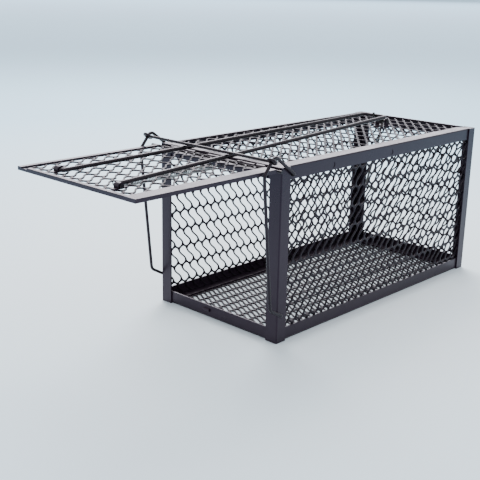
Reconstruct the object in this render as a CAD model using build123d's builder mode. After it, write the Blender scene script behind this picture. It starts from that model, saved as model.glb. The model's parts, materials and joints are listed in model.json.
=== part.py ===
"""Live catch trap: a wire mesh cage in a welded angle frame, with a spring-loaded drop door.

Millimetres. +Z is up, the door end faces -Y, and the origin is the middle of the cage's underside.
The door is drawn open, level with the cage top, held by its yoke wire on the bait hook.
"""
from build123d import *
from math import ceil
import os

os.makedirs("parts", exist_ok=True)

# ---------------------------------------------------------------- driving dimensions
cage_length = 240.0
cage_width = 115.0
cage_height = 120.0

# Angle frame
frame_sheet = 1.0
frame_bend = 0.9
post_end_flange = 10.0
post_side_flange = 9.0
top_rail_drop = 9.0
top_rail_ledge = 10.0
top_far_ledge = 3.0
base_rail_rise = 8.5
base_rail_ledge = 9.0
weld_dimple_radius = 2.0
weld_dimple_depth = 0.35
weld_dimple_first = 54.0
weld_dimple_spacing = 68.5

# Expanded mesh: wavy walls between zigzag rows of joints
mesh_sheet = 0.8
mesh_pitch = 8.0
mesh_row = 13.9
mesh_zigzag = 2.7
mesh_lean = 7.3
mesh_strand = 1.4
mesh_rim = 3.0
mesh_seat = 0.1
smallest_opening = 3.0
floor_pitch = 4.4
floor_row = 10.4
floor_zigzag = 1.5
floor_lean = 3.6
floor_strand = 1.3

# Door
door_sheet = 0.8
door_side_flange = 10.0
door_far_flange = 4.0
door_end_flange = 3.0
door_lip = 2.5
door_leaf = 7.0
door_side_gap = 0.5
door_ground_gap = 0.6
door_hinge_gap = 3.0

# Hinge
rod_radius = 1.1
rod_drop = 2.4
rod_past_left = 8.0
rod_past_right = 1.5
strap_sheet = 1.2
strap_width = 7.0
strap_reach = 6.0
strap_spacing = 82.0
knuckle_fit = 0.05
knuckle_width = 15.0
knuckle_spacing = 28.0
rod_fit = 0.02

# Yoke: the V of wire that ties the open door back to the bait hook
yoke_radius = 1.4
yoke_front_half = 25.0
yoke_rear_half = 10.5
yoke_from_door_end = 11.0
yoke_mesh_gap = 0.15
yoke_tail_y = 60.0
yoke_tail_z = 129.0
yoke_stub = 7.0
yoke_bend = 4.0
wire_bend = 0.6
staple_sheet = 0.8
staple_width = 4.0
staple_foot = 3.0
staple_fit = 0.06

# Guide wires and lock bar
guide_radius = 1.1
guide_gap = 0.2
guide_stub_gap = 0.2
guide_hole_fit = 0.05
guide_foot_y = 3.5
guide_foot_z = 19.5
guide_knee_y = 8.8
guide_knee_z = 26.5
guide_shoulder_y = 17.8
guide_shoulder_z = 2.5
guide_apex_y = 8.5
guide_apex_z = 9.0
guide_tail_y = 11.5
guide_tail_z = 5.8
guide_elbow = 1.6
guide_knee_bend = 5.0
guide_shoulder_bend = 6.0
guide_apex_bend = 3.5
bar_radius = 1.0
bar_eye_gap = 0.5
bar_rest_gap = 0.2

# Closing spring
spring_x = 3.0
spring_radius = 2.2
spring_wire = 0.35
spring_hook_y = 90.0
spring_under_mesh = 4.8
spring_hole_radius = 1.0
spring_coil_start = 6.5
spring_coil_end = 6.0
spring_seat_gap = 0.25

# Bait hook and its bracket
hook_radius = 0.9
hook_gap = 0.2
hook_prong_rise = 2.6
hook_pivot_behind = 10.0
hook_pivot_drop = 5.2
hook_shank_lead = 1.0
pin_radius = 1.0
pin_fit = 0.06
pin_head_radius = 1.8
pin_head = 0.6
bracket_sheet = 0.8
bracket_half = 4.0
bracket_length = 12.0
bracket_ear = 5.0
bracket_slot_half = 1.8
bait_elbow_y = 4.0
bait_elbow_z = 18.0
bait_reach = 17.0
bait_drop = 50.3
bait_tip_back = 16.0
bait_tip_drop = 10.5
bait_barb = 4.0
bait_elbow_bend = 6.0
bait_arm_bend = 3.0
bait_barb_bend = 1.2

# Modelling allowances
pick_tolerance = 0.01
cut_margin = 1.0

# Door stop on the front base rail
stop_x = -10.0
stop_length = 6.0
stop_radius = 1.2
stop_height = 5.6

# ---------------------------------------------------------------- derived sizes
half_length = cage_length / 2
half_width = cage_width / 2
rail_half_length = half_length - frame_sheet
rail_half_width = half_width - frame_sheet
panel_half_length = rail_half_length - frame_sheet - mesh_seat
panel_half_width = rail_half_width - frame_sheet
top_mesh_z = cage_height - frame_sheet - mesh_sheet

hinge_y = -rail_half_length - strap_sheet - rod_radius
hinge_z = cage_height - rod_drop
knuckle_inner = rod_radius + knuckle_fit
knuckle_outer = knuckle_inner + door_sheet
door_half_width = half_width - door_side_gap
door_end_y = hinge_y - (hinge_z - door_ground_gap)
door_start_y = hinge_y - door_hinge_gap
leaf_z = hinge_z - door_sheet / 2
door_mesh_z = leaf_z + door_sheet
door_mesh_top = door_mesh_z + mesh_sheet
door_top_z = door_mesh_top + door_sheet
spring_z = door_mesh_z - spring_under_mesh

yoke_pivot_y = door_end_y + yoke_from_door_end
yoke_pivot_z = door_mesh_top + yoke_radius + yoke_mesh_gap
yoke_slope = (yoke_tail_z - yoke_pivot_z) / (yoke_tail_y - yoke_pivot_y)

guide_x = half_width + guide_gap + guide_radius
shoulder = Vector(0, -half_length - guide_shoulder_y, cage_height - guide_shoulder_z)
apex = Vector(0, -half_length - guide_apex_y, cage_height + guide_apex_z)
slide_direction = (shoulder - apex).normalized()

hook_pivot_y = yoke_tail_y + hook_pivot_behind
hook_pivot_z = yoke_tail_z - hook_pivot_drop
mesh_row_under_hook = hook_pivot_y - hook_shank_lead


def save(part, name):
    """Label a finished piece and write it as its own STEP file."""
    part.label = name
    export_step(part, f"parts/{name}.step")


def bar_rest_point():
    """Where the lock bar lies on the yoke's legs, on the straight slope of the guide wires."""
    rise = yoke_radius + bar_radius + bar_rest_gap
    guide_slope = slide_direction.Z / slide_direction.Y
    offset = shoulder.Z - guide_slope * shoulder.Y
    yoke_level = yoke_pivot_z + rise - yoke_slope * yoke_pivot_y
    y = (yoke_level - offset) / (guide_slope - yoke_slope)
    return Vector(0, y, guide_slope * y + offset)


# ---------------------------------------------------------------- cage frame
guide_foot = Vector(0, -half_length + guide_foot_y, guide_foot_z)
guide_tail = Vector(0, -half_length + guide_tail_y, cage_height - guide_tail_z)

for end, toward_end in (("front", -1), ("rear", 1)):
    for side, toward_side in (("left", -1), ("right", 1)):
        with BuildPart() as post:
            with BuildSketch(Plane.XY):
                with Locations((toward_side * (half_width - post_end_flange / 2),
                                toward_end * (half_length - frame_sheet / 2))):
                    Rectangle(post_end_flange, frame_sheet)
                with Locations((toward_side * (half_width - frame_sheet / 2),
                                toward_end * (half_length - post_side_flange / 2))):
                    Rectangle(frame_sheet, post_side_flange)
            extrude(amount=cage_height)
            outer = [edge for edge in post.edges().filter_by(Axis.Z)
                     if abs(edge.center().X - toward_side * half_width) < pick_tolerance
                     and abs(edge.center().Y - toward_end * half_length) < pick_tolerance]
            fillet(outer, frame_bend)
            if end == "front":
                with Locations(Plane(origin=(toward_side * half_width, guide_foot.Y, guide_foot.Z),
                                     z_dir=(toward_side, 0, 0))):
                    Hole(guide_radius + guide_hole_fit, depth=2 * frame_sheet)
        save(post.part, f"post_{end}_{side}")


def rail_section(reach, ledge, web, base_z, up):
    """Corner points of an angle rail's section, from its outer edge inwards."""
    return [
        (reach, base_z),
        (reach - ledge, base_z),
        (reach - ledge, base_z + up * frame_sheet),
        (reach - frame_sheet, base_z + up * frame_sheet),
        (reach - frame_sheet, base_z + up * web),
        (reach, base_z + up * web),
    ]


for level, ledge, web, base_z, up in (
    ("top", top_rail_ledge, top_rail_drop, cage_height, -1),
    ("base", base_rail_ledge, base_rail_rise, mesh_sheet, 1),
):
    inner_x = rail_half_width - 2 * ledge
    inner_y = rail_half_length - 2 * ledge
    for side, sign in (("left", -1), ("right", 1)):
        side_ledge = top_far_ledge if (level, side) == ("top", "left") else ledge
        with BuildPart() as side_rail:
            with BuildSketch(Plane.XZ.offset(-rail_half_length)):
                section = rail_section(rail_half_width, side_ledge, web, base_z, up)
                with BuildLine():
                    Polyline([(sign * x, z) for x, z in section], close=True)
                make_face()
            extrude(amount=2 * rail_half_length)
            outer = [edge for edge in side_rail.edges().filter_by(Axis.Y)
                     if abs(edge.center().X - sign * rail_half_width) < pick_tolerance
                     and abs(edge.center().Z - base_z) < pick_tolerance]
            fillet(outer, frame_bend)
            # Mitre both ends of the ledge and web where the end rails meet this one
            for toward_end in (-1, 1):
                with BuildSketch(Plane.XY.offset(-cut_margin)):
                    with BuildLine():
                        Polyline([
                            (sign * rail_half_width, toward_end * rail_half_length),
                            (sign * inner_x, toward_end * inner_y),
                            (sign * inner_x, toward_end * rail_half_length),
                        ], close=True)
                    make_face()
                extrude(amount=cage_height + 2 * cut_margin, mode=Mode.SUBTRACT)
            if level == "top":
                for step in range(2):
                    dimple_y = -half_length + weld_dimple_first + step * weld_dimple_spacing
                    dimple_z = cage_height - frame_sheet - top_rail_drop / 2
                    with Locations(Plane(origin=(sign * rail_half_width, dimple_y, dimple_z),
                                         z_dir=(sign, 0, 0))):
                        Hole(weld_dimple_radius, depth=weld_dimple_depth)
                with Locations(Plane(origin=(sign * rail_half_width, guide_tail.Y, guide_tail.Z),
                                     z_dir=(sign, 0, 0))):
                    Hole(guide_radius + guide_hole_fit, depth=2 * frame_sheet)
        save(side_rail.part, f"{level}_rail_{side}")

    for end, sign in (("front", -1), ("rear", 1)):
        end_ledge = top_far_ledge if (level, end) == ("top", "rear") else ledge
        with BuildPart() as end_rail:
            with BuildSketch(Plane.YZ.offset(-rail_half_width)):
                section = rail_section(rail_half_length, end_ledge, web, base_z, up)
                with BuildLine():
                    Polyline([(sign * y, z) for y, z in section], close=True)
                make_face()
            extrude(amount=2 * rail_half_width)
            outer = [edge for edge in end_rail.edges().filter_by(Axis.X)
                     if abs(edge.center().Y - sign * rail_half_length) < pick_tolerance
                     and abs(edge.center().Z - base_z) < pick_tolerance]
            fillet(outer, frame_bend)
            for toward_side in (-1, 1):
                with BuildSketch(Plane.XY.offset(-cut_margin)):
                    with BuildLine():
                        Polyline([
                            (toward_side * rail_half_width, sign * rail_half_length),
                            (toward_side * inner_x, sign * inner_y),
                            (toward_side * rail_half_width, sign * inner_y),
                        ], close=True)
                    make_face()
                extrude(amount=cage_height + 2 * cut_margin, mode=Mode.SUBTRACT)
            if level == "top" and end == "front":
                with Locations(Plane(origin=(spring_x, -rail_half_length, spring_z), z_dir=(0, -1, 0))):
                    Hole(spring_hole_radius, depth=2 * frame_sheet)
        save(end_rail.part, f"{level}_rail_{end}")

with BuildPart() as door_stop:
    with BuildSketch(Plane.YZ.offset(stop_x - stop_length / 2)):
        with Locations((-rail_half_length, stop_height)):
            Circle(stop_radius)
        with Locations((-rail_half_length + stop_radius, stop_height)):
            Rectangle(2 * stop_radius, 2 * stop_radius, mode=Mode.SUBTRACT)
    extrude(amount=stop_length)
save(door_stop.part, "door_stop")


# ---------------------------------------------------------------- expanded mesh panels
def inset(outline, distance):
    """Corners of a clockwise outline moved inwards, so that each side shifts by the same distance."""
    corners = []
    for before, here, after in zip(outline[-1:] + outline[:-1], outline, outline[1:] + outline[:1]):
        first = (Vector(*here) - Vector(*before)).normalized()
        second = (Vector(*after) - Vector(*here)).normalized()
        inward = (Vector(first.Y, -first.X) + Vector(second.Y, -second.X)).normalized()
        stretch = inward.dot(Vector(first.Y, -first.X))
        corner = Vector(*here) + inward * (distance / stretch)
        corners.append((corner.X, corner.Y))
    return corners


def clipped(outline, half_x, half_y):
    """A convex outline cut back to a rectangle around the origin."""
    for axis, limit in ((0, half_x), (1, half_y)):
        for sign in (-1, 1):
            kept = []
            for here, after in zip(outline, outline[1:] + outline[:1]):
                here_inside = sign * here[axis] <= limit
                after_inside = sign * after[axis] <= limit
                if here_inside:
                    kept.append(here)
                if here_inside != after_inside:
                    share = (sign * limit - here[axis]) / (after[axis] - here[axis])
                    kept.append(tuple(p + share * (q - p) for p, q in zip(here, after)))
            outline = kept
    return outline


def outline_area(outline):
    """Area inside an outline, whichever way round it runs."""
    pairs = zip(outline, outline[1:] + outline[:1])
    return abs(sum(here[0] * after[1] - after[0] * here[1] for here, after in pairs)) / 2


def mesh_face(width, height, pattern, centre_y=0.0, lean=1):
    """A flat mesh panel around the origin, with leaning six-sided openings between its strands."""
    pitch, row_height, zigzag, lean_width, strand = pattern
    foot = -lean_width / 2
    wall_half = (row_height - zigzag) / 2
    opening = inset([
        (foot - pitch / 2, -wall_half),
        (-foot - pitch / 2, wall_half),
        (-foot, wall_half + zigzag),
        (-foot + pitch / 2, wall_half),
        (foot + pitch / 2, -wall_half),
        (foot, -wall_half - zigzag),
    ], strand / 2)
    columns = ceil(width / pitch) + 1
    rows = ceil(height / row_height) + 1
    holes = []
    for row in range(-rows, rows + 1):
        shift = (row * (lean_width - pitch / 2)) % pitch
        for column in range(-columns, columns + 1):
            x = lean * (column * pitch + shift)
            y = row * row_height + centre_y
            outline = [(x + lean * u, y + v) for u, v in opening]
            hole = clipped(outline, width / 2 - mesh_rim, height / 2 - mesh_rim)
            if len(hole) > 2 and outline_area(hole) > smallest_opening:
                holes.append(Wire.make_polygon([Vector(*corner) for corner in hole]))
    with BuildSketch(mode=Mode.PRIVATE) as outer:
        Rectangle(width, height)
    return Face(outer.sketch.face().outer_wire(), holes)


side_bottom = mesh_sheet + frame_sheet
side_height = top_mesh_z - side_bottom
side_centre_z = side_bottom + side_height / 2
wall_pattern = (mesh_pitch, mesh_row, mesh_zigzag, mesh_lean, mesh_strand)
floor_pattern = (floor_pitch, floor_row, floor_zigzag, floor_lean, floor_strand)
side_mesh = mesh_face(2 * panel_half_length, side_height, wall_pattern)
side_mesh_mirrored = mesh_face(2 * panel_half_length, side_height, wall_pattern, lean=-1)

with BuildPart() as mesh_right:
    with BuildSketch(Plane(origin=(panel_half_width - mesh_sheet, 0, side_centre_z), x_dir=(0, 1, 0),
                           z_dir=(1, 0, 0))):
        add(side_mesh)
    extrude(amount=mesh_sheet)
save(mesh_right.part, "mesh_right")

with BuildPart() as mesh_left:
    with BuildSketch(Plane(origin=(-panel_half_width, 0, side_centre_z), x_dir=(0, 1, 0),
                           z_dir=(1, 0, 0))):
        add(side_mesh_mirrored)
    extrude(amount=mesh_sheet)
save(mesh_left.part, "mesh_left")

rear_width = 2 * (panel_half_width - mesh_sheet)
with BuildPart() as mesh_rear:
    with BuildSketch(Plane(origin=(0, panel_half_length, side_centre_z), x_dir=(1, 0, 0),
                           z_dir=(0, -1, 0))):
        add(mesh_face(rear_width, side_height, wall_pattern))
    extrude(amount=mesh_sheet)
save(mesh_rear.part, "mesh_rear")

with BuildPart() as mesh_top:
    with BuildSketch(Plane.XY.offset(top_mesh_z)):
        add(mesh_face(2 * panel_half_width, 2 * panel_half_length, wall_pattern,
                      centre_y=mesh_row_under_hook, lean=-1))
    extrude(amount=mesh_sheet)
save(mesh_top.part, "mesh_top")

with BuildPart() as mesh_floor:
    with BuildSketch(Plane(origin=(0, 0, 0), x_dir=(0, 1, 0), z_dir=(0, 0, 1))):
        add(mesh_face(2 * panel_half_length, 2 * panel_half_width, floor_pattern))
    extrude(amount=mesh_sheet)
save(mesh_floor.part, "mesh_floor")

# ---------------------------------------------------------------- hinge rod and straps
with BuildPart() as hinge_rod:
    with BuildSketch(Plane.YZ.offset(-half_width - rod_past_left)):
        with Locations((hinge_y, hinge_z)):
            Circle(rod_radius)
    extrude(amount=cage_width + rod_past_left + rod_past_right)
save(hinge_rod.part, "hinge_rod")

for side, sign in (("left", -1), ("right", 1)):
    with BuildPart() as strap:
        with BuildSketch(Plane.YZ.offset(sign * strap_spacing / 2 - strap_width / 2)):
            with Locations((hinge_y, hinge_z)):
                Circle(rod_radius + strap_sheet)
            with Locations((hinge_y + rod_radius + strap_sheet / 2, hinge_z - strap_reach / 2)):
                Rectangle(strap_sheet, strap_reach)
            with Locations((hinge_y, hinge_z)):
                Circle(rod_radius + rod_fit, mode=Mode.SUBTRACT)
        extrude(amount=strap_width)
    save(strap.part, f"hinge_strap_{side}")

# ---------------------------------------------------------------- door
door_length = door_start_y - door_end_y
for side, sign, flange in (("left", -1, door_far_flange), ("right", 1, door_side_flange)):
    with BuildPart() as door_rail:
        with BuildSketch(Plane.XZ.offset(-door_start_y)):
            flange_x = sign * (door_half_width - flange / 2)
            with Locations((flange_x, door_top_z - door_sheet / 2)):
                Rectangle(flange, door_sheet)
            with Locations((sign * (door_half_width - door_sheet / 2), door_top_z - door_lip / 2)):
                Rectangle(door_sheet, door_lip)
        extrude(amount=door_length)
        outer = [edge for edge in door_rail.edges().filter_by(Axis.Y)
                 if abs(edge.center().X - sign * door_half_width) < pick_tolerance
                 and abs(edge.center().Z - door_top_z) < pick_tolerance]
        fillet(outer, door_sheet / 2)
    save(door_rail.part, f"door_rail_{side}")

with BuildPart() as door_rail_end:
    between = 2 * (door_half_width - door_side_flange)
    with BuildSketch(Plane.YZ.offset(-between / 2)):
        with Locations((door_end_y + door_end_flange / 2, door_top_z - door_sheet / 2)):
            Rectangle(door_end_flange, door_sheet)
        with Locations((door_end_y + door_sheet / 2, door_top_z - door_lip / 2)):
            Rectangle(door_sheet, door_lip)
    extrude(amount=between)
    outer = [edge for edge in door_rail_end.edges().filter_by(Axis.X)
             if abs(edge.center().Y - door_end_y) < pick_tolerance
             and abs(edge.center().Z - door_top_z) < pick_tolerance]
    fillet(outer, door_sheet / 2)
    # The lip carries on under the side flanges, up to their own lips
    lip_half = door_half_width - door_sheet
    lip_rise = door_lip - door_sheet
    with BuildSketch(Plane.YZ.offset(-lip_half)):
        with Locations((door_end_y + door_sheet / 2, door_top_z - door_sheet - lip_rise / 2)):
            Rectangle(door_sheet, lip_rise)
    extrude(amount=2 * lip_half)
save(door_rail_end.part, "door_rail_end")

door_mesh_width = 2 * (door_half_width - door_sheet - mesh_seat)
door_mesh_length = door_length - door_sheet - mesh_seat
with BuildPart() as door_mesh:
    with BuildSketch(Plane.XY.offset(door_mesh_z)):
        with Locations((0, door_start_y - door_mesh_length / 2)):
            add(mesh_face(door_mesh_width, door_mesh_length, wall_pattern, lean=-1))
    extrude(amount=mesh_sheet)
save(door_mesh.part, "door_mesh")

with BuildPart() as door_leaf_plate:
    with BuildSketch(Plane.XY.offset(leaf_z)):
        with Locations((0, door_start_y - door_leaf / 2)):
            Rectangle(2 * (door_half_width - door_side_flange), door_leaf)
    extrude(amount=door_sheet)
    for step in (-1, 0, 1):
        with BuildSketch(Plane.YZ.offset(step * knuckle_spacing - knuckle_width / 2)):
            with Locations((hinge_y, hinge_z)):
                Circle(knuckle_outer)
            with Locations((hinge_y - door_hinge_gap / 2, hinge_z)):
                Rectangle(door_hinge_gap, door_sheet)
            with Locations((hinge_y, hinge_z)):
                Circle(knuckle_inner, mode=Mode.SUBTRACT)
        extrude(amount=knuckle_width)
save(door_leaf_plate.part, "door_hinge_leaf")

# ---------------------------------------------------------------- yoke wire and its staples
with BuildPart() as trigger_yoke:
    tip = yoke_front_half + yoke_stub
    with BuildLine() as yoke_line:
        FilletPolyline(
            (-tip, yoke_pivot_y, yoke_pivot_z),
            (-yoke_front_half, yoke_pivot_y, yoke_pivot_z),
            (-yoke_rear_half, yoke_tail_y, yoke_tail_z),
            (yoke_rear_half, yoke_tail_y, yoke_tail_z),
            (yoke_front_half, yoke_pivot_y, yoke_pivot_z),
            (tip, yoke_pivot_y, yoke_pivot_z),
            radius=[yoke_radius + wire_bend, yoke_bend, yoke_bend, yoke_radius + wire_bend],
        )
    with BuildSketch(Plane(origin=yoke_line.line @ 0, z_dir=yoke_line.line % 0)):
        Circle(yoke_radius)
    sweep(path=yoke_line.line)
save(trigger_yoke.part, "trigger_yoke")

for side, sign in (("left", -1), ("right", 1)):
    with BuildPart() as staple:
        staple_x = sign * (yoke_front_half + yoke_stub - staple_width / 2 - staple_sheet)
        hole_radius = yoke_radius + staple_fit
        with BuildSketch(Plane.YZ.offset(staple_x - staple_width / 2)):
            with Locations((yoke_pivot_y, yoke_pivot_z)):
                Circle(hole_radius + staple_sheet)
            with Locations((yoke_pivot_y, door_mesh_top + staple_sheet / 2)):
                Rectangle(2 * (hole_radius + staple_sheet + staple_foot), staple_sheet)
            with Locations((yoke_pivot_y, yoke_pivot_z)):
                Circle(hole_radius, mode=Mode.SUBTRACT)
            with Locations((yoke_pivot_y, door_mesh_top - hole_radius)):
                Rectangle(4 * hole_radius + 4 * staple_foot, 2 * hole_radius, mode=Mode.SUBTRACT)
        extrude(amount=staple_width)
    save(staple.part, f"yoke_staple_{side}")

# ---------------------------------------------------------------- guide wires
for side, sign in (("left", -1), ("right", 1)):
    inner_x = sign * (panel_half_width + guide_stub_gap)
    outer_x = sign * guide_x
    with BuildPart() as guide_wire:
        with BuildLine() as guide_line:
            FilletPolyline(
                (inner_x, guide_foot.Y, guide_foot.Z),
                (outer_x, guide_foot.Y, guide_foot.Z),
                (outer_x, -half_length - guide_knee_y, guide_knee_z),
                (outer_x, shoulder.Y, shoulder.Z),
                (outer_x, apex.Y, apex.Z),
                (outer_x, guide_tail.Y, guide_tail.Z),
                (inner_x, guide_tail.Y, guide_tail.Z),
                radius=[guide_elbow, guide_knee_bend, guide_shoulder_bend, guide_apex_bend,
                        guide_elbow],
            )
        with BuildSketch(Plane(origin=guide_line.line @ 0, z_dir=guide_line.line % 0)):
            Circle(guide_radius)
        sweep(path=guide_line.line)
    save(guide_wire.part, f"guide_wire_{side}")

# ---------------------------------------------------------------- lock bar
bar_place = bar_rest_point()
eye_radius = guide_radius + bar_eye_gap + bar_radius
with BuildPart() as lock_bar:
    bar_half = guide_x - eye_radius
    with BuildSketch(Plane.YZ.offset(-bar_half)):
        with Locations((bar_place.Y, bar_place.Z)):
            Circle(bar_radius)
    extrude(amount=2 * bar_half)
    for sign in (-1, 1):
        with Locations(Plane(origin=(sign * guide_x, bar_place.Y, bar_place.Z), x_dir=(1, 0, 0),
                             z_dir=slide_direction)):
            Torus(eye_radius, bar_radius)
save(lock_bar.part, "lock_bar")

# ---------------------------------------------------------------- closing spring
spring_far_y = hinge_y - spring_hook_y
coil_far_y = spring_far_y + spring_coil_end
coil_near_y = hinge_y - spring_coil_start
hook_rise = spring_under_mesh - spring_seat_gap - spring_wire
with BuildPart() as closing_spring:
    with BuildSketch(Plane.XZ.offset(-coil_near_y)):
        with Locations((spring_x, spring_z)):
            Circle(spring_radius)
            Circle(spring_radius - 2 * spring_wire, mode=Mode.SUBTRACT)
    extrude(amount=coil_near_y - coil_far_y)
    # End plates stand for the closed turns that carry the two hooks
    for plate_y in (coil_near_y, coil_far_y + 2 * spring_wire):
        with BuildSketch(Plane.XZ.offset(-plate_y)):
            with Locations((spring_x, spring_z)):
                Circle(spring_radius)
        extrude(amount=2 * spring_wire)
    with BuildLine() as near_hook:
        Line((spring_x, coil_near_y, spring_z),
             (spring_x, -rail_half_length + 2 * frame_sheet, spring_z))
    with BuildSketch(Plane(origin=near_hook.line @ 0, z_dir=near_hook.line % 0)):
        Circle(spring_wire)
    sweep(path=near_hook.line)
    with BuildLine() as far_hook:
        FilletPolyline(
            (spring_x, coil_far_y + spring_wire, spring_z),
            (spring_x, spring_far_y, spring_z),
            (spring_x, spring_far_y, spring_z + hook_rise),
            (spring_x, spring_far_y + spring_coil_end / 2, spring_z + hook_rise),
            radius=2 * spring_wire + wire_bend,
        )
    with BuildSketch(Plane(origin=far_hook.line @ 0, z_dir=far_hook.line % 0)):
        Circle(spring_wire)
    sweep(path=far_hook.line)
save(closing_spring.part, "closing_spring")

# ---------------------------------------------------------------- bait hook, bracket and pin
plate_top = top_mesh_z + mesh_sheet + bracket_sheet
with BuildPart() as trigger_bracket:
    with BuildSketch(Plane.XY.offset(top_mesh_z + mesh_sheet)):
        with Locations((0, hook_pivot_y)):
            Rectangle(2 * bracket_half + 2 * bracket_sheet, bracket_length)
            Rectangle(2 * bracket_slot_half, bracket_length - 2 * bracket_sheet, mode=Mode.SUBTRACT)
    extrude(amount=bracket_sheet)
    ear_top = hook_pivot_z + bracket_ear / 2
    for sign in (-1, 1):
        with BuildSketch(Plane.YZ.offset(sign * (bracket_half + bracket_sheet / 2) - bracket_sheet / 2)):
            with Locations((hook_pivot_y, hook_pivot_z)):
                Circle(bracket_ear / 2)
            with Locations((hook_pivot_y, (plate_top + hook_pivot_z) / 2)):
                Rectangle(bracket_ear, hook_pivot_z - plate_top)
            with Locations((hook_pivot_y, hook_pivot_z)):
                Circle(pin_radius + rod_fit, mode=Mode.SUBTRACT)
        extrude(amount=bracket_sheet)
save(trigger_bracket.part, "trigger_bracket")

with BuildPart() as trigger_pin:
    pin_half = bracket_half + bracket_sheet
    with BuildSketch(Plane.YZ.offset(-pin_half)):
        with Locations((hook_pivot_y, hook_pivot_z)):
            Circle(pin_radius)
    extrude(amount=2 * pin_half)
    for start in (-pin_half - pin_head, pin_half):
        with BuildSketch(Plane.YZ.offset(start)):
            with Locations((hook_pivot_y, hook_pivot_z)):
                Circle(pin_head_radius)
        extrude(amount=pin_head)
save(trigger_pin.part, "trigger_pin")

hook_eye = pin_radius + pin_fit + hook_radius
bait_arm_y = hook_pivot_y - bait_reach
bait_arm_z = hook_pivot_z - bait_drop
prong_y = yoke_tail_y - yoke_radius - hook_radius - hook_gap
arm_z = yoke_tail_z - yoke_radius - hook_radius - hook_gap
with BuildPart() as bait_hook:
    with Locations(Plane(origin=(0, hook_pivot_y, hook_pivot_z), z_dir=(1, 0, 0))):
        Torus(hook_eye, hook_radius)
    with BuildLine() as cradle_line:
        FilletPolyline(
            (0, hook_pivot_y - hook_eye, hook_pivot_z),
            (0, prong_y, arm_z),
            (0, prong_y, yoke_tail_z + hook_prong_rise),
            radius=2 * hook_radius,
        )
    with BuildSketch(Plane(origin=cradle_line.line @ 0, z_dir=cradle_line.line % 0)):
        Circle(hook_radius)
    sweep(path=cradle_line.line)
    with BuildLine() as bait_line:
        FilletPolyline(
            (0, hook_pivot_y, hook_pivot_z - hook_eye),
            (0, hook_pivot_y - bait_elbow_y, hook_pivot_z - bait_elbow_z),
            (0, bait_arm_y, bait_arm_z),
            (0, bait_arm_y + bait_tip_back, bait_arm_z - bait_tip_drop),
            (0, bait_arm_y + bait_tip_back, bait_arm_z - bait_tip_drop + bait_barb),
            radius=[bait_elbow_bend, bait_arm_bend, bait_barb_bend],
        )
    with BuildSketch(Plane(origin=bait_line.line @ 0, z_dir=bait_line.line % 0)):
        Circle(hook_radius)
    sweep(path=bait_line.line)
save(bait_hook.part, "bait_hook")
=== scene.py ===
import json
import math

import bpy
from mathutils import Matrix, Vector


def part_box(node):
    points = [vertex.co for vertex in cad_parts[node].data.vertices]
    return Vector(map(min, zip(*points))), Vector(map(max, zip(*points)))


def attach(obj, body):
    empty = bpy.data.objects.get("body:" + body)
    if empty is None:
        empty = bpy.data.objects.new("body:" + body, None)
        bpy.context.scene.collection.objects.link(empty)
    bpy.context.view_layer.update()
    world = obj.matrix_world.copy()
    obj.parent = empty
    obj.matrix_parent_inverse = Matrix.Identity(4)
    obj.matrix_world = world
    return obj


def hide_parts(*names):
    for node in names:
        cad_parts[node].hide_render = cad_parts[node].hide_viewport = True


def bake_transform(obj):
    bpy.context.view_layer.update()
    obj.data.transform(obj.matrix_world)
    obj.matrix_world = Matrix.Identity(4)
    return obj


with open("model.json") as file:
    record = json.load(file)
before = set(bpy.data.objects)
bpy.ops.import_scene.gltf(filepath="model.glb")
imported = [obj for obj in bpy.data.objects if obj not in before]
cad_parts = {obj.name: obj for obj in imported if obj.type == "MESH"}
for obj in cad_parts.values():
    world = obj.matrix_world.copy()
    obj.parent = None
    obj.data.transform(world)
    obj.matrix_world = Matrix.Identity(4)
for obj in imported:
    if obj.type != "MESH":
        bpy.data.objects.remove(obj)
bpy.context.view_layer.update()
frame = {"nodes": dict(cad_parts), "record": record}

MM = 0.001

# Mesh pattern: the walls' is the same as the pressed sheet's; the floor's is finer than the sheet's,
# and its extra dark strands are painted shadow of the strands on the ground
WALL_MESH = {"pitch": 8.0 * MM, "row": 13.9 * MM, "zigzag": 2.7 * MM, "lean": 7.3 * MM,
             "strand": 1.5 * MM, "wave": 1.05, "steps": 7, "round": 2}
FLOOR_MESH_WITH_SHADOW_STRANDS = {"pitch": 4.4 * MM, "row": 10.4 * MM, "zigzag": 1.5 * MM, "lean": 3.6 * MM,
              "strand": 1.4 * MM, "wave": 1.0, "steps": 4, "round": 1}
EDGE_ROUND = 0.2 * MM
MERGE = 0.02 * MM
SOLID_SHARE = 0.24  # a cell cut to less than this share of its area stays solid
QUARTER = math.pi / 2


# ------------------------------------------------------------------ helpers
def let_go():
    """Nothing selected, object mode."""
    if bpy.context.object and bpy.context.object.mode != "OBJECT":
        bpy.ops.object.mode_set(mode="OBJECT")
    bpy.ops.object.select_all(action="DESELECT")


def pick(piece):
    """Only this piece selected and active."""
    let_go()
    piece.select_set(True)
    bpy.context.view_layer.objects.active = piece


def settle(piece):
    """Apply the piece's place, turn and scale to its mesh."""
    pick(piece)
    bpy.ops.object.transform_apply(location=True, rotation=True, scale=True)


def apply_all(piece):
    """Apply every modifier in order."""
    pick(piece)
    for modifier in list(piece.modifiers):
        bpy.ops.object.modifier_apply(modifier=modifier.name)


def copy_of(piece, name):
    """A copy with its own mesh."""
    twin = piece.copy()
    twin.data = piece.data.copy()
    twin.name = name
    bpy.context.collection.objects.link(twin)
    return twin


def finish_piece(piece, name, body, material, node):
    """Name, paint and seat a new piece in place of its CAD node."""
    piece.name = name
    piece.data.name = name
    piece.data.materials.clear()
    piece.data.materials.append(material)
    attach(piece, body)
    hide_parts(node)


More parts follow.
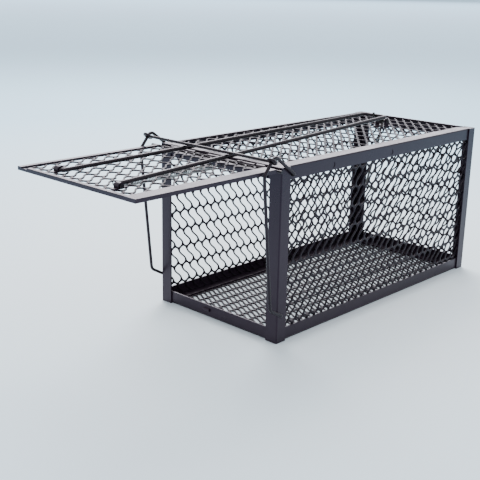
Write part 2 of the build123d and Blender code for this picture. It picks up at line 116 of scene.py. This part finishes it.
# ------------------------------------------------------------------ finishes
def new_finish(name):
    """An empty node material with its shader and Object coordinates."""
    material = bpy.data.materials.new(name)
    material.use_nodes = True
    nodes = material.node_tree.nodes
    links = material.node_tree.links
    nodes.clear()
    out = nodes.new("ShaderNodeOutputMaterial")
    shader = nodes.new("ShaderNodeBsdfPrincipled")
    links.new(shader.outputs["BSDF"], out.inputs["Surface"])
    place = nodes.new("ShaderNodeTexCoord")
    return material, nodes, links, shader, place.outputs["Object"]


def noise(nodes, links, place, scale, detail=3.0, roughness=0.5):
    """A noise texture at this many waves per metre."""
    texture = nodes.new("ShaderNodeTexNoise")
    texture.inputs["Scale"].default_value = scale
    texture.inputs["Detail"].default_value = detail
    texture.inputs["Roughness"].default_value = roughness
    links.new(place, texture.inputs["Vector"])
    return texture.outputs["Fac"]


def spread(nodes, links, factor, low, high, start=0.3, end=0.7):
    """Map a factor onto a range."""
    node = nodes.new("ShaderNodeMapRange")
    node.inputs["From Min"].default_value = start
    node.inputs["From Max"].default_value = end
    node.inputs["To Min"].default_value = low
    node.inputs["To Max"].default_value = high
    links.new(factor, node.inputs["Value"])
    return node.outputs["Result"]


def blended(nodes, links, factor, first, second):
    """Mix two colours, each a colour or a socket."""
    node = nodes.new("ShaderNodeMix")
    node.data_type = "RGBA"
    links.new(factor, node.inputs["Factor"])
    for socket, colour in (("A", first), ("B", second)):
        target = [i for i in node.inputs if i.name == socket and i.type == "RGBA"][0]
        if isinstance(colour, tuple):
            target.default_value = (*colour, 1.0)
        else:
            links.new(colour, target)
    return [o for o in node.outputs if o.type == "RGBA"][0]


def bump(nodes, links, height, distance, strength, normal=None):
    """Raise the surface by a height factor."""
    node = nodes.new("ShaderNodeBump")
    node.inputs["Strength"].default_value = strength
    node.inputs["Distance"].default_value = distance
    links.new(height, node.inputs["Height"])
    if normal is not None:
        links.new(normal, node.inputs["Normal"])
    return node.outputs["Normal"]


def paint_finish(name, deep, pale, dust, gloss, peel_scale, peel, coat):
    """Dipped or sprayed paint: orange peel, patchy gloss and a trace of dust."""
    material, nodes, links, shader, place = new_finish(name)
    patches = noise(nodes, links, place, 45.0, 4.0, 0.6)
    fine = noise(nodes, links, place, peel_scale, 2.0, 0.4)
    specks = noise(nodes, links, place, 2600.0, 2.0, 0.5)
    colour = blended(nodes, links, spread(nodes, links, patches, 0.0, 1.0), deep, pale)
    dusty = spread(nodes, links, specks, 0.0, 0.35, 0.62, 0.78)
    colour = blended(nodes, links, dusty, colour, dust)
    links.new(colour, shader.inputs["Base Color"])
    rough = spread(nodes, links, patches, gloss[0], gloss[1])
    links.new(rough, shader.inputs["Roughness"])
    shader.inputs["Metallic"].default_value = 0.0
    shader.inputs["IOR"].default_value = 1.35
    shader.inputs["Specular Tint"].default_value = (0.93, 0.74, 0.93, 1.0)
    shader.inputs["Coat Weight"].default_value = coat
    shader.inputs["Coat Roughness"].default_value = 0.15
    shader.inputs["Coat IOR"].default_value = 1.45
    normal = bump(nodes, links, fine, 0.00012, peel)
    links.new(normal, shader.inputs["Normal"])
    links.new(normal, shader.inputs["Coat Normal"])
    return material


def steel_finish(name, dark, light, rough):
    """Drawn wire: fine streaks, oil and slight tarnish."""
    material, nodes, links, shader, place = new_finish(name)
    tarnish = noise(nodes, links, place, 180.0, 4.0, 0.6)
    streaks = noise(nodes, links, place, 3200.0, 2.0, 0.5)
    colour = blended(nodes, links, spread(nodes, links, tarnish, 0.0, 1.0), dark, light)
    links.new(colour, shader.inputs["Base Color"])
    links.new(spread(nodes, links, streaks, rough[0], rough[1]), shader.inputs["Roughness"])
    shader.inputs["Metallic"].default_value = 1.0
    links.new(bump(nodes, links, streaks, 0.00005, 0.4), shader.inputs["Normal"])
    return material


frame_paint = paint_finish("frame_paint", (0.0075, 0.0035, 0.0085), (0.013, 0.0075, 0.014),
                           (0.06, 0.05, 0.07), (0.26, 0.40), 900.0, 0.35, 0.05)
mesh_paint = paint_finish("mesh_paint", (0.002, 0.0015, 0.003), (0.004, 0.003, 0.006),
                          (0.03, 0.026, 0.034), (0.45, 0.62), 1400.0, 0.30, 0.0)
wire_paint = paint_finish("wire_paint", (0.003, 0.0027, 0.0035), (0.007, 0.0065, 0.0075),
                          (0.06, 0.055, 0.06), (0.22, 0.36), 1100.0, 0.25, 0.05)
hook_steel = steel_finish("hook_steel", (0.05, 0.048, 0.05), (0.12, 0.115, 0.11), (0.28, 0.42))
spring_steel = steel_finish("spring_steel", (0.16, 0.15, 0.145), (0.34, 0.33, 0.32), (0.22, 0.36))

finishes = {
    "frame_paint": frame_paint,
    "mesh_paint": mesh_paint,
    "dark_wire": wire_paint,
    "trigger_wire": hook_steel,
    "spring_steel": spring_steel,
}
for subpart in frame["record"]["subparts"]:
    carried = frame["nodes"][subpart["node"]]
    for carried_slot in carried.material_slots:
        carried_slot.material = finishes[subpart["material_slot"]]


# ------------------------------------------------------------------ expanded mesh
def wall_point(mesh, step):
    """A point on the S-shaped wall, from its foot to its head."""
    t = step / mesh["steps"]
    swing = mesh["wave"] * math.sin(2 * math.pi * t) / (2 * math.pi)
    return Vector((mesh["lean"] * (t - swing - 0.5), (mesh["row"] - mesh["zigzag"]) * (t - 0.5), 0))


def cell_outline(mesh):
    """One opening between strand centres, anticlockwise from the foot of its right wall."""
    steps = mesh["steps"]
    across = Vector((mesh["pitch"] / 2, 0, 0))
    reach = Vector((mesh["lean"] / 2, (mesh["row"] + mesh["zigzag"]) / 2, 0))
    right = [wall_point(mesh, step) + across for step in range(steps + 1)]
    left = [wall_point(mesh, step) - across for step in range(steps, -1, -1)]
    head_arch = [(right[-1] + reach) / 2, reach, (reach + left[0]) / 2]
    foot_arch = [(left[-1] - reach) / 2, -reach, (right[0] - reach) / 2]
    return right + head_arch + left + foot_arch


def model_cell(mesh):
    """The cell that a panel is laid out from: a disc whose corners are drawn out to the outline."""
    outline = cell_outline(mesh)
    let_go()
    bpy.ops.mesh.primitive_circle_add(vertices=len(outline), radius=mesh["pitch"] / 2,
                                      fill_type="NGON")
    cell = bpy.context.object
    starts = [vertex.co.copy() for vertex in cell.data.vertices]
    bpy.ops.object.mode_set(mode="EDIT")
    bpy.ops.mesh.select_mode(type="VERT")
    for number, corner in enumerate(outline):
        bpy.ops.mesh.select_all(action="DESELECT")
        bpy.ops.object.mode_set(mode="OBJECT")
        cell.data.vertices[number].select = True
        bpy.ops.object.mode_set(mode="EDIT")
        bpy.ops.transform.translate(value=corner - starts[number])
    bpy.ops.mesh.select_all(action="SELECT")
    bpy.ops.mesh.normals_make_consistent(inside=False)
    bpy.ops.object.mode_set(mode="OBJECT")
    return cell


def lay_out(panel, mesh, width, height, row_at):
    """Repeat the cell in columns and rows past the sheet's outline, and merge the shared corners."""
    row_shift = mesh["lean"] - mesh["pitch"] / 2
    rows = 2 * (math.ceil((height / 2 + abs(row_at)) / mesh["row"]) + 1)
    columns = 2 * (math.ceil((width + rows * row_shift) / mesh["pitch"] / 2) + 2)
    panel.location = (-columns / 2 * mesh["pitch"] - rows / 2 * row_shift,
                      -rows / 2 * mesh["row"] + row_at, 0)
    settle(panel)
    for count, offset in ((columns + 1, (mesh["pitch"], 0, 0)),
                          (rows + 1, (row_shift, mesh["row"], 0))):
        array = panel.modifiers.new("array", "ARRAY")
        array.use_relative_offset = False
        array.use_constant_offset = True
        array.constant_offset_displace = offset
        array.count = count
        array.use_merge_vertices = True
        array.merge_threshold = MERGE
    apply_all(panel)
    bpy.ops.object.mode_set(mode="EDIT")
    bpy.ops.mesh.select_mode(type="FACE")
    bpy.ops.mesh.select_all(action="SELECT")
    bpy.ops.mesh.remove_doubles(threshold=MERGE)
    for place, normal in (((width / 2, 0, 0), (1, 0, 0)), ((-width / 2, 0, 0), (-1, 0, 0)),
                          ((0, height / 2, 0), (0, 1, 0)), ((0, -height / 2, 0), (0, -1, 0))):
        bpy.ops.mesh.select_all(action="SELECT")
        bpy.ops.mesh.bisect(plane_co=place, plane_no=normal, clear_outer=True)
    bpy.ops.mesh.select_all(action="DESELECT")
    bpy.ops.object.mode_set(mode="OBJECT")


def cut_openings(panel, mesh):
    """Inset each cell by half a strand, round the opening's ends and take the opening out."""
    solid_below = SOLID_SHARE * mesh["pitch"] * mesh["row"]
    for face in panel.data.polygons:
        face.select = face.area > solid_below
    bpy.ops.object.mode_set(mode="EDIT")
    bpy.ops.mesh.inset(thickness=mesh["strand"] / 2, use_individual=True, use_even_offset=True)
    bpy.ops.mesh.vertices_smooth(factor=0.5, repeat=mesh["round"])
    bpy.ops.mesh.delete(type="FACE")
    bpy.ops.object.mode_set(mode="OBJECT")


def expanded_panel(cell, mesh, node, body, across, up, turn, mirrored=False, row_at=0.0):
    """A sheet of expanded mesh in the box of its CAD node."""
    low, high = (Vector(corner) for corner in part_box(node))
    size = high - low
    panel = copy_of(cell, node + "_sheet")
    lay_out(panel, mesh, size[across], size[up], row_at)
    cut_openings(panel, mesh)
    bpy.ops.object.mode_set(mode="EDIT")
    bpy.ops.mesh.select_all(action="SELECT")
    if mirrored:
        bpy.ops.transform.resize(value=(-1, 1, 1), center_override=(0, 0, 0))
    bpy.ops.mesh.normals_make_consistent(inside=False)
    bpy.ops.object.mode_set(mode="OBJECT")
    solid = panel.modifiers.new("thickness", "SOLIDIFY")
    solid.thickness = min(size)
    solid.offset = 0
    rounded = panel.modifiers.new("edges", "BEVEL")
    rounded.width = EDGE_ROUND
    rounded.segments = 1
    rounded.limit_method = "ANGLE"
    rounded.angle_limit = math.radians(60)
    apply_all(panel)
    bpy.ops.object.shade_smooth()
    panel.rotation_euler = turn
    panel.location = (low + high) / 2
    settle(panel)
    finish_piece(panel, node + "_sheet", body, mesh_paint, node)


ROW_UNDER_HOOK = 69.0 * MM
wall_cell = model_cell(WALL_MESH)
floor_cell_with_shadow_strands = model_cell(FLOOR_MESH_WITH_SHADOW_STRANDS)
expanded_panel(wall_cell, WALL_MESH, "mesh_right", "cage", 1, 2, (QUARTER, 0, QUARTER))
expanded_panel(wall_cell, WALL_MESH, "mesh_left", "cage", 1, 2, (QUARTER, 0, QUARTER),
               mirrored=True)
expanded_panel(wall_cell, WALL_MESH, "mesh_rear", "cage", 0, 2, (QUARTER, 0, 0))
expanded_panel(wall_cell, WALL_MESH, "mesh_top", "cage", 0, 1, (0, 0, 0), mirrored=True,
               row_at=ROW_UNDER_HOOK)
# floor sheet: its extra strands are painted shadow of the strands on the ground
expanded_panel(floor_cell_with_shadow_strands, FLOOR_MESH_WITH_SHADOW_STRANDS, "mesh_floor", "cage", 1, 0, (0, 0, QUARTER))
expanded_panel(wall_cell, WALL_MESH, "door_mesh", "door", 0, 1, (0, 0, 0), mirrored=True)
pick(wall_cell)
floor_cell_with_shadow_strands.select_set(True)
bpy.ops.object.delete()


# ------------------------------------------------------------------ closing spring
SPRING_WIRE = 0.35 * MM
SPRING_RADIUS = 2.2 * MM
SPRING_HOOK = 6.35 * MM
SPRING_STRAIGHT = 12.1 * MM
SPRING_LIP = 3.3 * MM
SPRING_TURNS = 62
SPRING_STEPS = 12


def wire_run(points, radius):
    """A run of round wire through these points, as a mesh."""
    let_go()
    bpy.ops.curve.primitive_bezier_curve_add(enter_editmode=False)
    run = bpy.context.object
    line = run.data
    line.splines.clear()
    spline = line.splines.new("NURBS")
    spline.points.add(len(points) - 1)
    for point, place in zip(spline.points, points):
        point.co = (*place, 1)
    spline.order_u = 3
    spline.use_endpoint_u = True
    spline.resolution_u = 6
    line.dimensions = "3D"
    line.bevel_depth = radius
    line.bevel_resolution = 2
    line.use_fill_caps = True
    run.location = (0, 0, 0)
    pick(run)
    bpy.ops.object.convert(target="MESH")
    return bpy.context.object


def model_spring():
    """The extension spring: an open coil, a straight end to the rail and a hook at the door."""
    low, high = (Vector(corner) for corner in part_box("closing_spring"))
    x = (low.x + high.x) / 2
    z = low.z + SPRING_RADIUS
    coil_radius = SPRING_RADIUS - SPRING_WIRE
    far_y = low.y + SPRING_HOOK
    near_y = high.y - SPRING_STRAIGHT
    length = near_y - far_y
    let_go()
    bpy.ops.mesh.primitive_circle_add(vertices=6, radius=SPRING_WIRE, fill_type="NOTHING",
                                      rotation=(0, QUARTER, 0), location=(0, 0, coil_radius))
    coil = bpy.context.object
    settle(coil)
    screw = coil.modifiers.new("coil", "SCREW")
    screw.axis = "Y"
    screw.screw_offset = length / SPRING_TURNS
    screw.iterations = SPRING_TURNS
    screw.steps = SPRING_STEPS
    screw.render_steps = SPRING_STEPS
    screw.use_merge_vertices = True
    apply_all(coil)
    coil.location = (x, far_y, z)
    settle(coil)
    near_end = wire_run([(x, near_y, z + coil_radius), (x, near_y + 1.0 * MM, z + coil_radius),
                         (x, near_y + 2.0 * MM, z), (x, near_y + 4.0 * MM, z), (x, high.y, z)],
                        SPRING_WIRE)
    hook_top = high.z - SPRING_WIRE
    far_end = wire_run([(x, far_y, z + coil_radius), (x, far_y - 1.0 * MM, z + coil_radius),
                        (x, far_y - 2.4 * MM, z), (x, low.y + SPRING_WIRE, z),
                        (x, low.y + SPRING_WIRE, hook_top), (x, low.y + SPRING_LIP, hook_top)],
                       SPRING_WIRE)
    pick(coil)
    near_end.select_set(True)
    far_end.select_set(True)
    bpy.ops.object.join()
    spring = bpy.context.object
    bpy.ops.object.mode_set(mode="EDIT")
    bpy.ops.mesh.select_all(action="SELECT")
    bpy.ops.mesh.normals_make_consistent(inside=False)
    bpy.ops.object.mode_set(mode="OBJECT")
    bpy.ops.object.shade_smooth()
    settle(spring)
    spring.name = "spring_coil"
    spring.data.name = "spring_coil"
    spring.data.materials.clear()
    spring.data.materials.append(spring_steel)
    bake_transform(spring)
    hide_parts("closing_spring")


model_spring()


# ------------------------------------------------------------------ floor, light and camera
GROUND_SIZE = 80.0
GROUND_GAP = 0.2 * MM


def pale_floor():
    """A pale bluish floor with a painted pool of light: whiter round the trap, darker and bluer
    further out.
    """
    material, nodes, links, shader, place = new_finish("pale_floor")
    distance = nodes.new("ShaderNodeVectorMath")
    distance.operation = "LENGTH"
    links.new(place, distance.inputs[0])
    # painted pool of light: near-white at the trap, fading to a darker blue by 0.9 m out
    colour = blended(nodes, links,
                     spread(nodes, links, distance.outputs["Value"], 0.0, 1.0, 0.05, 0.9),
                     (0.86, 0.95, 1.0), (0.50, 0.76, 0.94))
    links.new(colour, shader.inputs["Base Color"])
    shader.inputs["Roughness"].default_value = 0.7
    return material


let_go()
bpy.ops.mesh.primitive_plane_add(size=GROUND_SIZE, location=(0, 0, -GROUND_GAP))
ground = bpy.context.object
settle(ground)
ground.name = "ground"
ground.data.materials.append(pale_floor())

world = bpy.data.worlds.new("studio")
bpy.context.scene.world = world
world.use_nodes = True
world.node_tree.nodes["Background"].inputs["Color"].default_value = (0.93, 0.96, 1.0, 1)
world.node_tree.nodes["Background"].inputs["Strength"].default_value = 1.2


def soft_light(name, place, target, width, height, power, colour=(1, 1, 1)):
    """A rectangular studio light aimed at a point."""
    let_go()
    bpy.ops.object.light_add(type="AREA", location=place)
    lamp = bpy.context.object
    lamp.name = name
    lamp.data.shape = "RECTANGLE"
    lamp.data.size = width
    lamp.data.size_y = height
    lamp.data.energy = power
    lamp.data.color = colour
    lamp.rotation_euler = (Vector(target) - Vector(place)).to_track_quat("-Z", "Y").to_euler()


soft_light("overhead", (-0.8, 0.6, 1.2), (0, 0, 0.05), 0.9, 0.9, 30.0)
soft_light("back_panel", (-6.2, 6.5, 3.1), (0, 0, 0.1), 10.5, 3.6, 520.0, (0.94, 0.91, 1.0))
soft_light("front_fill", (0.9, -1.2, 0.9), (0, 0, 0.06), 0.8, 0.8, 3.0)

CAMERA_PLACE = (0.4101, -0.5279, 0.2350)
LENS = 65.5
AZIMUTH = math.radians(43.55)
ELEVATION = math.radians(16.81)
ROLL = math.radians(1.16)
back = Vector((math.sin(AZIMUTH) * math.cos(ELEVATION), -math.cos(AZIMUTH) * math.cos(ELEVATION),
               math.sin(ELEVATION)))
level_x = Vector((0, 0, 1)).cross(back).normalized()
level_y = back.cross(level_x)
camera_x = math.cos(ROLL) * level_x + math.sin(ROLL) * level_y
camera_y = -math.sin(ROLL) * level_x + math.cos(ROLL) * level_y
camera_data = bpy.data.cameras.new("camera")
camera = bpy.data.objects.new("camera", camera_data)
bpy.context.collection.objects.link(camera)
camera_data.lens = LENS
camera_data.sensor_width = 36.0
camera_data.clip_start = 0.01
turn = Matrix((camera_x, camera_y, back)).transposed().to_4x4()
camera.matrix_world = Matrix.Translation(CAMERA_PLACE) @ turn
bpy.context.scene.camera = camera
